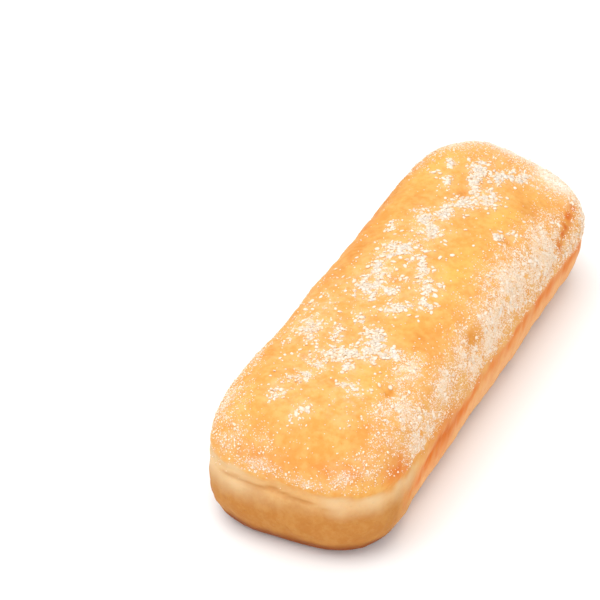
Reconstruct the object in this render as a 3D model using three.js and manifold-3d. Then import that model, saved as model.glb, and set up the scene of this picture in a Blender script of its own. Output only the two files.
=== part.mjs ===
// A long fried bun, uncut: one flat-topped bar of dough with rounded ends, dusted with coarse sugar.
// Millimetres, +Z up. +X runs along the bun, and the origin is under its middle, on the surface it
// lies on. The end at -X is the fuller one, and the long side at -Y is the straighter one.
import * as THREE from 'three';
import { mergeVertices } from 'three/addons/utils/BufferGeometryUtils.js';
import Module from 'manifold-3d';

const wasm = await Module();
wasm.setup();

// Driving dimensions of the whole bun.
const LENGTH = 150;
const WIDTH = 51;
const HEIGHT = 36;

// The outline seen from above is a rounded rectangle. Each corner has a radius and a squareness,
// where 2 is a round corner and more is a squarer one.
const CORNERS = {
  farLeft: { radius: 23, squareness: 2.3 },
  nearLeft: { radius: 21.5, squareness: 3 },
  nearRight: { radius: 22.5, squareness: 2.7 },
  farRight: { radius: 22, squareness: 3.2 },
};
const FAR_BOW = 2;
const FAR_SKEW = 2.3;
const NEAR_SKEW = -0.7;
const END_ZONE = 34;

// Small swells and pinches along the two long sides.
const SWELL_SPREAD = 13;
const SWELLS = [
  { x: -47, side: 1, by: 0.9 },
  { x: -26, side: 1, by: -0.3 },
  { x: -4, side: 1, by: 0.7 },
  { x: 40, side: 1, by: 0.2 },
  { x: -47, side: -1, by: -0.3 },
  { x: -15, side: -1, by: -0.2 },
  { x: 40, side: -1, by: -0.2 },
];

// The section from the top to the waist is the dome, and from the waist to the sole the belly.
const WAIST_HEIGHT = 17.4;
const DOME = { across: 3.7, upward: 2.5 };
const BELLY = { across: 2.35, downward: 2.4 };
const SOLE = { middle: 0.59, nearGain: 0.18, farGain: -0.13 };

// The top sinks towards one corner of the far end, and rolls a little all over.
const SUNKEN_CORNER = { x: 60, y: -19, share: 0.38, spread: 19.5 };
const TOP_ROLL = { height: 0.35, shift: 1.3, waveX: 9, waveY: 7, slowX: 17, slowY: 11 };
const DIMPLES = [
  { x: 39, y: 2, deep: 1, spread: 2.6 },
  { x: -4, y: 2, deep: 0.7, spread: 2.4 },
  { x: -46, y: -15, deep: 0.6, spread: 2.2 },
  { x: 26, y: -15, deep: 0.5, spread: 2.4 },
];

// A crease runs round under the crust's rim, deepest at the near end, over a fuller lower edge.
const CREASE = { height: 19.4, spread: 1.3, nearDeep: 0.9, sideDeep: 0.25, wander: 0.7, wave: 11 };
const LOWER_SWELL = { height: 8.5, spread: 6, by: 0.8 };

// Fineness of the surface.
const COLUMNS = 108;
const DOME_ROWS = 13;
const BELLY_ROWS = 9;
const SOLE_ROWS = 2;
const CURVE_STEPS = 1500;

// Sugar clumps lie in knots: each has its middle, its length and width, its turn in degrees and
// the number of clumps in it.
const KNOTS = [
  { x: -60, y: 8, long: 4, wide: 2.5, turn: 20, clumps: 3 },
  { x: -55, y: 7, long: 2.5, wide: 1.5, turn: 0, clumps: 2 },
  { x: -64, y: -0.5, long: 4, wide: 2, turn: -20, clumps: 3 },
  { x: -52, y: 4, long: 3, wide: 1.5, turn: 20, clumps: 2 },
  { x: -45.5, y: 3, long: 3, wide: 2.5, turn: 70, clumps: 2 },
  { x: -39.5, y: 0, long: 8, wide: 4, turn: -50, clumps: 7 },
  { x: -43, y: -3, long: 3, wide: 2, turn: 0, clumps: 2 },
  { x: -36, y: -5.5, long: 4, wide: 3, turn: -30, clumps: 4 },
  { x: -30.5, y: -5, long: 7, wide: 3, turn: 35, clumps: 5 },
  { x: -34.5, y: -10, long: 5, wide: 3.5, turn: -60, clumps: 5 },
  { x: -32, y: 12, long: 5, wide: 3.5, turn: 0, clumps: 4 },
  { x: -36.5, y: 10.5, long: 2, wide: 1.5, turn: 0, clumps: 1 },
  { x: -31.5, y: 5, long: 6, wide: 2, turn: 20, clumps: 4 },
  { x: -23.5, y: 2, long: 3, wide: 1.5, turn: 20, clumps: 2 },
  { x: -51, y: -7, long: 3.5, wide: 2.5, turn: 90, clumps: 2 },
  { x: -11, y: 5.5, long: 6, wide: 4, turn: 20, clumps: 5 },
  { x: -11, y: 0.5, long: 3, wide: 2.5, turn: 40, clumps: 3 },
  { x: -16, y: -4, long: 5, wide: 2.5, turn: -40, clumps: 4 },
  { x: -12.5, y: -10, long: 3, wide: 2, turn: 10, clumps: 2 },
  { x: -5.5, y: -8.5, long: 4, wide: 2.5, turn: 80, clumps: 3 },
  { x: -1.5, y: 8, long: 6, wide: 2, turn: 15, clumps: 3 },
  { x: 0, y: -4, long: 4.5, wide: 3, turn: 30, clumps: 4 },
  { x: 4, y: -1, long: 4, wide: 1.5, turn: 30, clumps: 2 },
  { x: 7.5, y: 5, long: 7, wide: 4, turn: -60, clumps: 6 },
  { x: 17, y: 12, long: 3, wide: 1.5, turn: 20, clumps: 2 },
  { x: 18.5, y: 2, long: 6, wide: 2.5, turn: 15, clumps: 4 },
  { x: 22.5, y: 6, long: 5, wide: 3, turn: 20, clumps: 4 },
  { x: 25.5, y: -13.5, long: 3, wide: 2, turn: 10, clumps: 2 },
  { x: 28.5, y: -16.5, long: 3, wide: 1.5, turn: -20, clumps: 1 },
  { x: 29, y: 2, long: 6, wide: 2, turn: 10, clumps: 3 },
  { x: 35.5, y: -1, long: 7, wide: 3.5, turn: -15, clumps: 5 },
  { x: 40, y: -5, long: 6, wide: 3, turn: 20, clumps: 4 },
  { x: 45.5, y: 1, long: 7, wide: 2, turn: 20, clumps: 4 },
  { x: 42, y: 7.5, long: 3.5, wide: 1.5, turn: 15, clumps: 2 },
  { x: 47, y: 13, long: 2.5, wide: 1.5, turn: 20, clumps: 1 },
  { x: 54.5, y: 10.5, long: 3, wide: 2, turn: 20, clumps: 2 },
  { x: 56, y: 4, long: 6, wide: 2.5, turn: 5, clumps: 4 },
  { x: 55, y: -2.5, long: 5.5, wide: 2.5, turn: -15, clumps: 4 },
  { x: 58, y: -7.5, long: 5, wide: 1.5, turn: -15, clumps: 2 },
];
const CLUMP_RADIUS = { least: 0.8, most: 1.3 };
const CLUMP_FLATNESS = 0.62;
const CLUMP_SUNK = 0.3;
const GOLDEN_TURN = Math.PI * (3 - Math.sqrt(5));
const GOLDEN_SHARE = (Math.sqrt(5) - 1) / 2;
const KNOT_STEP = 0.37;
const MERGE_WITHIN = 1e-4;

const crustMaterial = new THREE.MeshStandardMaterial({ color: 0xeaa55c, roughness: 0.75, metalness: 0 });

const bell = (distance, spread) => Math.exp(-((distance / spread) ** 2));
const signedPower = (value, power) => Math.sign(value) * Math.abs(value) ** power;
const fraction = (value) => value - Math.floor(value);

// Points spaced evenly along a polyline, measured by its own length.
function spacedAlong(points, count, closed) {
  const line = closed ? [...points, points[0]] : points;
  const reached = [0];
  for (let i = 1; i < line.length; i += 1) {
    reached.push(reached[i - 1] + line[i].distanceTo(line[i - 1]));
  }
  const total = reached[reached.length - 1];
  const gaps = closed ? count : count - 1;
  const spaced = [];
  let leg = 1;
  for (let i = 0; i < count; i += 1) {
    const target = (total * i) / gaps;
    while (leg < line.length - 1 && reached[leg] < target) leg += 1;
    const share = (target - reached[leg - 1]) / (reached[leg] - reached[leg - 1]);
    spaced.push(line[leg - 1].clone().lerp(line[leg], Math.min(1, share)));
  }
  return spaced;
}

// The outline at the waist, anticlockwise from the middle of the far end.
function waistOutline() {
  const half = new THREE.Vector2(LENGTH / 2, WIDTH / 2);
  const outline = [];
  for (let i = 0; i < CURVE_STEPS * 4; i += 1) {
    const turn = ((i + 0.5) / (CURVE_STEPS * 4)) * Math.PI * 2;
    const cos = Math.cos(turn);
    const sin = Math.sin(turn);
    const corner = (cos >= 0 ? 'far' : 'near') + (sin >= 0 ? 'Left' : 'Right');
    const { radius, squareness } = CORNERS[corner];
    const x = Math.sign(cos) * (half.x - radius) + radius * signedPower(cos, 2 / squareness);
    const y = Math.sign(sin) * (half.y - radius) + radius * signedPower(sin, 2 / squareness);
    outline.push(new THREE.Vector2(x, y));
  }
  const shaped = spacedAlong(outline, COLUMNS, true).map(({ x, y }) => {
    const across = y / half.y;
    const endShare = THREE.MathUtils.clamp((Math.abs(x) - (half.x - END_ZONE)) / END_ZONE, 0, 1) ** 2;
    const bow = x > 0 ? FAR_BOW * (1 - across ** 2) : 0;
    const skew = (x > 0 ? FAR_SKEW : NEAR_SKEW) * across;
    const swell = SWELLS.filter(({ side }) => side * y > 0)
      .reduce((sum, { x: at, side, by }) => sum + side * by * bell(x - at, SWELL_SPREAD), 0);
    return new THREE.Vector2(x + (bow + skew) * endShare, y + swell * across ** 2);
  });
  return fitted(shaped);
}

// The outline brought to the driving length and width.
function fitted(points) {
  const size = new THREE.Box2().setFromPoints(points).getSize(new THREE.Vector2());
  const scale = new THREE.Vector2(LENGTH, WIDTH).divide(size);
  return points.map((point) => point.clone().multiply(scale));
}

// Rows of points moved so that their box has its middle over the origin.
function centred(rows) {
  const middle = new THREE.Box3().setFromPoints(rows.flat()).getCenter(new THREE.Vector3()).setZ(0);
  return rows.map((row) => row.map((point) => point.clone().sub(middle)));
}

// The section as points of share of the way out to the waist, and height: dome, belly, then sole.
function section() {
  const rise = HEIGHT - WAIST_HEIGHT;
  const dome = [];
  const belly = [];
  for (let i = 0; i <= CURVE_STEPS; i += 1) {
    const turn = ((i / CURVE_STEPS) * Math.PI) / 2;
    const out = Math.sin(turn) ** (2 / DOME.across);
    const up = Math.cos(turn) ** (2 / DOME.upward);
    dome.push(new THREE.Vector2((out * WIDTH) / 2, WAIST_HEIGHT + rise * up));
    const inward = Math.cos(turn) ** (2 / BELLY.across);
    const down = Math.sin(turn) ** (2 / BELLY.downward);
    belly.push(new THREE.Vector2((inward * WIDTH) / 2, WAIST_HEIGHT * (1 - down)));
  }
  const creaseRows = [-CREASE.spread, 0, CREASE.spread]
    .map((offset) => dome.find((point) => point.y < CREASE.height + offset));
  const above = [...spacedAlong(dome, DOME_ROWS, false), ...creaseRows].sort((a, b) => b.y - a.y);
  const below = spacedAlong(belly, BELLY_ROWS, false).slice(1);
  const toRow = (inBelly) => (point) => ({ out: (point.x * 2) / WIDTH, height: point.y, inBelly });
  return [...above.map(toRow(false)), ...below.map(toRow(true))];
}

// How far the flat sole reaches towards the waist, at a place along the bun.
function soleShare(x) {
  const along = x / (LENGTH / 2);
  return SOLE.middle + (along < 0 ? SOLE.nearGain : SOLE.farGain) * along ** 2;
}

// The height of the top after its rolls, its dimples and the sunken corner.
function topHeight(x, y, height) {
  const above = Math.max(0, height - WAIST_HEIGHT);
  const share = above / (HEIGHT - WAIST_HEIGHT);
  const corner = Math.hypot(x - SUNKEN_CORNER.x, y - SUNKEN_CORNER.y);
  const sunk = above * SUNKEN_CORNER.share * bell(corner, SUNKEN_CORNER.spread);
  const quick = Math.sin(x / TOP_ROLL.waveX + TOP_ROLL.shift) * Math.cos(y / TOP_ROLL.waveY);
  const slow = Math.sin(x / TOP_ROLL.slowX - y / TOP_ROLL.slowY);
  const roll = TOP_ROLL.height * share * (quick + slow);
  const dimpled = DIMPLES.reduce((sum, { x: atX, y: atY, deep, spread }) => (
    sum + share * deep * bell(Math.hypot(x - atX, y - atY), spread)), 0);
  return height - sunk + roll - dimpled;
}

// How far the wall stands out or in at a height: the crease, and the fuller lower edge of the near end.
function wallOffset({ x, y }, height) {
  const near = THREE.MathUtils.clamp((-x - (LENGTH / 2 - END_ZONE)) / END_ZONE, 0, 1);
  const wander = CREASE.wander * (1 - near) * Math.sin(x / CREASE.wave + Math.sign(y));
  const crease = (CREASE.sideDeep + (CREASE.nearDeep - CREASE.sideDeep) * near)
    * bell(height - CREASE.height - wander, CREASE.spread);
  return LOWER_SWELL.by * near * bell(height - LOWER_SWELL.height, LOWER_SWELL.spread) - crease;
}

// Rows of points from the line along the middle of the top, round the wall, to the sole's middle.
function bunRows() {
  const outline = waistOutline();
  const spineHalf = (LENGTH - WIDTH) / 2;
  const spine = outline.map(({ x }, i) => {
    const across = outline[(COLUMNS - i) % COLUMNS].x;
    return new THREE.Vector2(THREE.MathUtils.clamp((x + across) / 2, -spineHalf, spineHalf), 0);
  });
  const rows = section().map(({ out, height, inBelly }) => outline.map((edge, i) => {
    const sole = soleShare(edge.x);
    const reach = inBelly ? sole + (1 - sole) * out : out;
    const place = spine[i].clone().lerp(edge, reach);
    const outward = edge.clone().sub(spine[i]).normalize();
    place.addScaledVector(outward, wallOffset(edge, height));
    return new THREE.Vector3(place.x, place.y, topHeight(place.x, place.y, height));
  }));
  const foot = rows[rows.length - 1];
  for (let k = SOLE_ROWS - 1; k >= 0; k -= 1) {
    rows.push(foot.map((point, i) => new THREE.Vector3(spine[i].x, 0, 0).lerp(point, k / SOLE_ROWS)));
  }
  return centred(rows);
}

// A closed skin over rows of points. The first and last rows fold shut along the middle line.
function skinOver(rows) {
  const positions = rows.flat().flatMap((point) => [point.x, point.y, point.z]);
  const indices = [];
  for (let row = 0; row < rows.length - 1; row += 1) {
    for (let i = 0; i < COLUMNS; i += 1) {
      const a = row * COLUMNS + i;
      const b = row * COLUMNS + ((i + 1) % COLUMNS);
      indices.push(a, a + COLUMNS, b, b, a + COLUMNS, b + COLUMNS);
    }
  }
  const skin = new THREE.BufferGeometry();
  skin.setAttribute('position', new THREE.Float32BufferAttribute(positions, 3));
  skin.setIndex(indices);
  return skin;
}

// A closed solid for joining, from a geometry whose shared points are merged first.
function toSolid(geometry) {
  const bare = geometry.clone();
  bare.deleteAttribute('normal');
  bare.deleteAttribute('uv');
  const merged = mergeVertices(bare, MERGE_WITHIN);
  const corners = Array.from(merged.index.array);
  const kept = [];
  for (let i = 0; i < corners.length; i += 3) {
    const [a, b, c] = corners.slice(i, i + 3);
    if (a !== b && b !== c && c !== a) kept.push(a, b, c);
  }
  return new wasm.Manifold(new wasm.Mesh({
    numProp: 3,
    vertProperties: Float32Array.from(merged.attributes.position.array),
    triVerts: Uint32Array.from(kept),
  }));
}

function toGeometry(solid) {
  const { vertProperties, triVerts } = solid.getMesh();
  const geometry = new THREE.BufferGeometry();
  geometry.setAttribute('position', new THREE.BufferAttribute(vertProperties, 3));
  geometry.setIndex(new THREE.BufferAttribute(triVerts, 1));
  geometry.computeVertexNormals();
  return geometry;
}

// Places in a knot lie on a widening spiral, each a golden turn on from the last.
function clumpPlaces() {
  return KNOTS.flatMap(({ x, y, long, wide, turn, clumps }, knot) => {
    const places = [];
    for (let i = 0; i < clumps; i += 1) {
      const draw = fraction(i * GOLDEN_SHARE + knot * KNOT_STEP);
      const reach = Math.sqrt((i + 0.5) / clumps);
      const angle = i * GOLDEN_TURN + draw;
      const local = new THREE.Vector2(long * Math.cos(angle), wide * Math.sin(angle));
      local.multiplyScalar(reach / 2).rotateAround(new THREE.Vector2(), THREE.MathUtils.degToRad(turn));
      const radius = THREE.MathUtils.lerp(CLUMP_RADIUS.least, CLUMP_RADIUS.most, draw);
      places.push({ x: x + local.x, y: y + local.y, radius, turn: angle });
    }
    return places;
  });
}

// Each clump is a small flattened crystal shape, partly sunk in the crust under it.
function sugarClumps(bun) {
  const probe = new THREE.Raycaster();
  const down = new THREE.Vector3(0, 0, -1);
  return clumpPlaces().map(({ x, y, radius, turn }) => {
    probe.set(new THREE.Vector3(x, y, HEIGHT * 2), down);
    const [hit] = probe.intersectObject(bun);
    const clump = new THREE.IcosahedronGeometry(radius, 0);
    clump.rotateZ(turn);
    clump.scale(1, 1, CLUMP_FLATNESS);
    const lift = radius * CLUMP_FLATNESS * (1 - 2 * CLUMP_SUNK);
    const upright = new THREE.Quaternion().setFromUnitVectors(new THREE.Vector3(0, 0, 1), hit.face.normal);
    clump.applyQuaternion(upright);
    clump.translate(...hit.point.clone().addScaledVector(hit.face.normal, lift).toArray());
    return clump;
  });
}

function longBun() {
  const crust = toSolid(skinOver(bunRows()));
  const bareBun = new THREE.Mesh(toGeometry(crust), crustMaterial);
  const sugared = sugarClumps(bareBun).reduce((solid, clump) => solid.add(toSolid(clump)), crust);
  const mesh = new THREE.Mesh(toGeometry(sugared), crustMaterial);
  mesh.name = 'long_bun';
  return mesh;
}

const group = new THREE.Group();
group.add(longBun());

export default group;
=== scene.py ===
import math

import bpy
import numpy as np
from bpy.props import FloatProperty, FloatVectorProperty, IntProperty, PointerProperty
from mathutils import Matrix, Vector


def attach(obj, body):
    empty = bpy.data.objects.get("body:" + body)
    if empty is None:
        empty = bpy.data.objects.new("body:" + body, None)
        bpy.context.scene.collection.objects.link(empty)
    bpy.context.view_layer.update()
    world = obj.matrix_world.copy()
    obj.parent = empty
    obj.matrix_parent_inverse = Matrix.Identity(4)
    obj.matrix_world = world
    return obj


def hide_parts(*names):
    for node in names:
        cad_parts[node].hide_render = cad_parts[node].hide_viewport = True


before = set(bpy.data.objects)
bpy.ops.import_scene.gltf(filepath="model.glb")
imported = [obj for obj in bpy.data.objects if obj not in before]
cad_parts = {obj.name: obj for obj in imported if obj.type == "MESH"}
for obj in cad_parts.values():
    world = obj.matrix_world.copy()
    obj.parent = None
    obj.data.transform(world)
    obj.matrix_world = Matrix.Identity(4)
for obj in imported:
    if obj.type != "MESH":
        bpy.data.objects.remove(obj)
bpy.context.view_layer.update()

bl_info = {
    "name": "Long Sugared Bun",
    "version": (1, 0, 0),
    "blender": (4, 5, 0),
    "location": "View3D > Sidebar > Bun",
    "description": "Makes a long fried bun with a browned crust and loose sugar on it",
    "category": "Add Mesh",
}

MM = 0.001

# The outline's corners: which end, which side, radius, and squareness, where 2 is a round corner.
# The far end is bowed out, and the ends are skewed, within a zone of the given length.
CORNERS = (
    ("far", "left", 23.0, 2.3),
    ("near", "left", 21.5, 3.0),
    ("near", "right", 22.5, 2.7),
    ("far", "right", 22.0, 3.2),
)
FAR_BOW = 2.0
FAR_SKEW = 2.3
NEAR_SKEW = -0.7
END_ZONE = 34.0

# Swells and pinches along the long sides: place along, side, and how far out.
SWELL_SPREAD = 13.0
SWELLS = (
    (-47, 1, 0.9),
    (-26, 1, -0.3),
    (-4, 1, 0.7),
    (40, 1, 0.2),
    (-47, -1, -0.3),
    (-15, -1, -0.2),
    (40, -1, -0.2),
)

# The section: powers of the dome above the waist and of the belly below it, and the sole's share of
# the way out at mid-length, with its gain towards each end.
WAIST_HEIGHT = 17.4
DOME_ACROSS, DOME_UPWARD = 3.7, 2.5
BELLY_ACROSS, BELLY_DOWNWARD = 2.35, 2.4
SOLE_MIDDLE, SOLE_NEAR_GAIN, SOLE_FAR_GAIN = 0.59, 0.18, -0.13
CURVE_STEPS = 1500

# The sunken corner of the top, its slow rolls, and its dimples: middle, depth and spread.
SUNKEN = {"x": 60.0, "y": -19.0, "share": 0.38, "spread": 19.5}
ROLL = {"height": 0.35, "shift": 1.3, "wave_x": 9.0, "wave_y": 7.0, "slow_x": 17.0, "slow_y": 11.0}
DIMPLES = (
    (39, 2, 1.0, 2.6),
    (-4, 2, 0.7, 2.4),
    (-46, -15, 0.6, 2.2),
    (26, -15, 0.5, 2.4),
)

# The crease round the wall, deeper at the near end, and the swell that fills the wall below it.
CREASE = {"height": 19.4, "spread": 1.3, "near": 0.9, "side": 0.25, "wander": 0.7, "wave": 11.0}
LOWER_SWELL = {"height": 8.5, "spread": 6.0, "by": 0.8}

# How far the near end's finish reaches along the sides: where its fade starts, on the right and on
# the left, and where it is full.
NEAR_END = {"fades": 46.0, "left_fades": 14.0, "full": 62.0}

# The pale band: its top at the left and the right corner, its bottom, which is lifted between two
# shares of the way to the right, how far each edge fades, and its strength there and on the sides.
# The strength then changes in steps: start, end and gain, in the same shares.
BAND = {
    "width": 51.0,
    "top_left": 22.6,
    "top_right": 19.0,
    "top_waver": 0.5,
    "over": 0.9,
    "under": 1.3,
    "bottom": 13.4,
    "bottom_waver": 0.35,
    "above": 4.6,
    "below": 3.0,
    "lift": 1.9,
    "lifts": (0.45, 0.75),
    "strength": 0.82,
    "side": 0.14,
}
BAND_STEPS = ((0.25, 0.45, -0.5), (0.62, 0.86, 0.66), (0.86, 0.98, -0.15))

# The thin crease in the band: its height, its drop between two places across, where it fades in
# from the right and from the left, its spread and depth, and the share of darker tan painted into it as
# painted shade.
CREASE_LINE = {
    "height": 17.9,
    "drop": 1.3,
    "drops": (2, -14),
    "right": (-17, -6),
    "left": (19, 14),
    "spread": 0.5,
    "deep": 0.5,
    "shade": 0.65,
}

# The rim, above which the sugar lies, and the darker line under it: places along, and heights.
RIM = (
    (-66, 20.5),
    (-46, 19.5),
    (-37, 19.0),
    (-29, 17.8),
    (-21, 16.4),
    (-14, 17.4),
    (-3, 17.6),
    (8, 17.3),
    (20, 16.8),
    (30, 16.4),
    (44, 15.8),
    (60, 15.0),
)
DARK_LINE = (
    (-62, 11.5),
    (-50, 12.0),
    (-36, 15.2),
    (-25, 14.2),
    (-19, 15.0),
    (-12, 16.4),
    (0, 15.8),
    (12, 15.6),
    (28, 15.2),
    (44, 14.6),
    (58, 14.4),
)

# The darker line: its spread, its faint place, where it fades in from the left, towards the far end
# and past the near end, its strength where hidden, its even part, and its share of the colour.
LINE = {
    "spread": 2.1,
    "faint": 0.4,
    "faint_x": -7,
    "faint_spread": 8.0,
    "right": (5, -15),
    "before_far_end": (64, 58),
    "past_near_end": (-62, -50),
    "hidden": 0.55,
    "even": 0.85,
    "colour": 1.1,
}

# The lower wall's top, higher at the near end and across on the hidden side, and the top of the darker
# sole, which is partly browner crust and partly painted contact shade.
WALL = {"top": 15.5, "near": 2.0, "hidden": 4.0, "across": (0, 10), "fade": 3.5}
SOLE_AND_CONTACT_SHADE_EDGE = {"height": 3.0, "near": 2.8, "fade": 3.0}

# Rolling fields: the wavelength in mm, amount and seed of each one's ripples. A field's ripples are
# summed waves, with lengths between two shares of the wavelength.
FIELDS = {
    "relief": ((9.0, 0.13, 11), (4.0, 0.075, 12), (1.9, 0.035, 13)),
    "line height": ((6.0, 0.4, 35),),
    "line strength": ((9.0, 0.25, 36),),
    "sugar cover": ((6.0, 0.3, 21), (2.4, 0.3, 22)),
    "sugar edge": ((3.0, 0.6, 23),),
    "end reach": ((12.0, 2.5, 37),),
    "band height": ((5.5, 1.0, 31),),
    "band strength": ((8.0, 0.12, 34),),
    "crease height": ((7.0, 0.25, 33),),
    "wall height": ((7.0, 0.8, 41),),
    "sole height": ((9.0, 0.5, 45),),
    "toasted": ((2.0, 0.35, 44),),
    "scorched": ((3.0, 0.4, 42),),
    "ruddy": ((3.0, 0.25, 43),),
}
WAVES = 28
WAVE_LENGTHS = (0.7, 1.6)

# The even part of each uneven layer, the wavelength and seed of each net of veins, the heights
# between which the relief fades in, how deep pits are sunk, and the shortest normal divided by.
EVEN_PART = {"toasted": 0.8, "scorched": 0.85, "ruddy": 0.95}
VEINS = {"wide": (7.0, 61), "narrow": (3.2, 62)}
VEIN_SPREAD = 0.38
RELIEF_FADE = (0.3, 3.0)
PIT_DEPTH = 0.3
LEAST_LENGTH = 1e-9

# Knots of clumped sugar: middle, length, width, turn in degrees, and number of clumps.
KNOTS = (
    (-60, 8, 4, 2.5, 20, 3),
    (-55, 7, 2.5, 1.5, 0, 1),
    (-64, -0.5, 4, 2, -20, 3),
    (-52, 4, 3, 1.5, 20, 2),
    (-45.5, 3, 3, 2.5, 70, 2),
    (-39.5, 0, 8, 4, -50, 7),
    (-43, -3, 3, 2, 0, 2),
    (-36, -5.5, 4, 3, -30, 4),
    (-30.5, -5, 7, 3, 35, 5),
    (-34.5, -10, 5, 3.5, -60, 5),
    (-32, 12, 5, 3.5, 0, 2),
    (-36.5, 10.5, 2, 1.5, 0, 1),
    (-31.5, 5, 6, 2, 20, 2),
    (-23.5, 2, 3, 1.5, 20, 2),
    (-51, -7, 3.5, 2.5, 90, 1),
    (-11, 5.5, 6, 4, 20, 5),
    (-11, 0.5, 3, 2.5, 40, 2),
    (-16, -4, 5, 2.5, -40, 2),
    (-12.5, -10, 3, 2, 10, 1),
    (-5.5, -8.5, 4, 2.5, 80, 3),
    (-1.5, 8, 6, 2, 15, 3),
    (0, -4, 4.5, 3, 30, 3),
    (4, -1, 4, 1.5, 30, 2),
    (7.5, 5, 7, 4, -60, 6),
    (17, 12, 3, 1.5, 20, 2),
    (18.5, 2, 6, 2.5, 15, 4),
    (22.5, 6, 5, 3, 20, 4),
    (24.5, -14, 2.5, 1.5, 10, 2),
    (28.5, -16.5, 3, 1.5, -20, 1),
    (29, 2, 6, 2, 10, 3),
    (35.5, -1, 7, 3.5, -15, 5),
    (40, -5, 6, 3, 20, 4),
    (45.5, 1, 7, 2, 20, 4),
    (42, 7.5, 3.5, 1.5, 15, 2),
    (50.5, 10, 3, 1.5, 20, 2),
    (44, 12, 2, 1.5, 20, 1),
    (52, 2.5, 7, 3, 5, 5),
    (53, -3, 5.5, 2.5, -15, 4),
    (58, -7.5, 5, 1.5, -15, 2),
)

# How far a knot reaches past its clumps, how its strength grows with them, and each knot's step in
# the draw of sizes. Then the clumps' radii, the share of one that its lump takes, and the dome's
# lowest rows, which no clump lies on.
KNOT = {"reach": 0.55, "margin": 0.7, "least": 0.35, "each": 0.13, "step": 0.37}
CLUMP_LEAST, CLUMP_MOST = 0.8, 1.3
CLUMP_LUMP_SHARE = 0.62
CLUMP_FREE_ROWS = 4
GOLDEN_TURN = math.pi * (3 - math.sqrt(5))
GOLDEN_SHARE = (math.sqrt(5) - 1) / 2

# Shapes of sugar. Each has sides between a least and a most share of its size, and leans. The first
# two have corners moved between two shares, and the last one rings, turns and summed waves.
BLOCK = {
    "least": (0.75, 0.6, 0.5),
    "most": (1.15, 1.0, 0.8),
    "corners": (0.72, 1.08),
    "taper": 0.35,
    "lean": 0.22,
}
FLAKE = {
    "least": (0.9, 0.65, 0.45),
    "most": (1.3, 1.0, 0.75),
    "corners": (0.75, 1.15),
    "shift": 0.25,
    "lean": 0.3,
}
LUMP = {
    "least": (0.95, 0.65, 0.32),
    "most": (1.5, 1.05, 0.5),
    "rings": 4,
    "turns": 8,
    "waves": 4,
    "bumps": 1.6,
    "uneven": 0.08,
    "lean": 0.15,
}
BOX_CORNERS = np.array([(x, y, z) for x in (-1, 1) for y in (-1, 1) for z in (-1, 1)], float)
BOX_SIDES = ((0, 1, 3, 2), (4, 6, 7, 5), (0, 4, 5, 1), (2, 3, 7, 6), (0, 2, 6, 4), (1, 5, 7, 3))
DIAMOND = np.array([(1, 0, 0), (0, 1, 0), (-1, 0, 0), (0, -1, 0), (0, 0, 1), (0, 0, -1)], float)

# Shares of the sugar. DUSTING is fine sugar, VEIL half-melted sugar, and FROST the far end's powder, whose
# patches also carry a painted highlight.
# LUMPED gives the small lumps and GRAINS the grains. A pair is a fade or a range of shares.
DUSTING = {
    "even": 0.8,
    "bare": 1.5,
    "facing": (-0.3, 0.1),
    "above_rim": (-0.2, 2.0),
    "hidden_side": (14, 19),
    "strength": 1.25,
}
VEIL = {
    "wide": 0.6,
    "narrow": 0.5,
    "haze": 0.1,
    "knot_power": 0.6,
    "knot": 0.6,
    "knot_net": 0.5,
    "strength": 0.9,
}
FROST = {"film_facing": (0.0, 0.7), "facing": (0.2, 0.8), "grains": 0.25}
LUMPED = {
    "facing": (0.1, 0.6),
    "even": 0.1,
    "wide": 0.6,
    "power": 1.5,
    "hazed": 0.06,
    "dusted": 0.05,
    "sizes": (0.5, 1.6),
    "smaller_near": 0.4,
    "lift": 0.1,
}
GRAINS = {
    "facing": (0.6, 0.9),
    "even": 0.015,
    "strewn": 0.25,
    "coarse": 0.3,
    "sizes": (0.6, 1.4),
    "knot_lift": (0.1, 0.6),
    "lift": 0.15,
}

# Patches on the crust: middle x, y, z, then reach along x, y and z, and strength. The pits are
# toasted too, and sunk.
SUGARED = (
    (-52, -19, 29, 9, 4, 7, 1.0),
    (-38, -16, 33, 8, 3, 5, 0.8),
    (-46, -23, 24, 12, 4, 8, 0.8),
    (-30, -23, 26, 10, 3, 8, 0.75),
    (-15, -22.5, 25.5, 8, 4.5, 7, 1.0),
    (-2, -23, 26, 10, 5, 8, 1.0),
    (13, -21.5, 27, 12, 5.5, 8.5, 1.15),
    (34, -22.5, 25.5, 14, 5.5, 7.5, 1.25),
    (50, -26, 20, 7, 3, 4, 0.95),
    (61, -23, 21, 7, 5, 5, 1.1),
    (-71, 12, 27, 3, 10, 6, 0.4),
    (-63, 19, 29, 8, 5, 6, 0.45),
    (-15, 25.5, 23, 30, 3, 5, 0.4),
    (30, 25.5, 22, 20, 3, 5, 0.5),
    (-73, 6, 24, 3, 6, 2.2, 0.6),
    (-73, -6, 21.8, 3, 5, 2.2, 0.8),
    (-71, -15, 25, 3, 5, 3.5, 0.5),
    (-68, -19, 28, 4, 3, 3.5, 0.55),
    (-46, 22, 30, 14, 4, 6, 0.35),
    (56, 21, 28, 10, 5, 6, 0.8),
    (72, 2, 30, 7, 18, 6, 0.8),
    (69, -15, 27, 7, 9, 6, 0.8),
    (65, 15, 30, 7, 9, 6, 0.8),
)
HAZED = (
    (-30, 13, 35, 16, 6, 6, 0.7),
    (-48, 5, 35, 12, 6, 6, 0.6),
    (-5, 5, 36, 18, 8, 6, 0.8),
    (-8, -7, 36, 12, 5, 6, 0.5),
    (20, 3, 36, 15, 6, 6, 0.7),
    (-40, -4, 36, 10, 6, 6, 0.5),
    (42, -3, 34, 8, 5, 7, 0.6),
    (61, -8, 30, 6, 8, 6, 0.6),
    (-20, 14, 36, 12, 7, 6, 0.7),
    (-55, -9, 35, 8, 5, 6, 0.6),
)
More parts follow.
